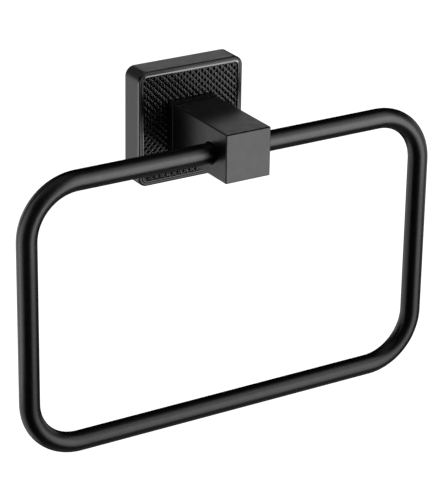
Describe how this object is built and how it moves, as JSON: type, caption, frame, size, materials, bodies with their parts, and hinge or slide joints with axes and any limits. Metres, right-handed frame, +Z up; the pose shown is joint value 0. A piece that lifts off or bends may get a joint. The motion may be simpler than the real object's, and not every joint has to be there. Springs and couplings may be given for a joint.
{
  "type": "towel holder",
  "caption": "Wall-fixed towel ring: a square rose with a raised diamond-knurled panel, a square post and a round rod bent to a rounded rectangle, in satin black.",
  "frame": {"origin": "middle of the rose's wall side, on the wall plane, halfway between the two screw slots", "axes": "+Y into the wall, so the holder stands out towards -Y; +Z up; +X along the rod's top bar"},
  "size_m": [0.1882, 0.054, 0.1391],
  "materials": {
    "satin_black": "satin black powder coat",
    "zinc_plated_steel": "bright zinc plate",
    "stainless_steel": "turned stainless steel"
  },
  "bodies": {
    "root": {"rose_cover": "satin_black", "knurled_inlay": "satin_black", "post": "satin_black", "towel_ring": "satin_black", "wall_bracket": "zinc_plated_steel", "post_screw": "zinc_plated_steel", "lock_washer": "zinc_plated_steel", "rose_set_screw": "stainless_steel", "ring_set_screws": "stainless_steel"}
  },
  "joints": []
}
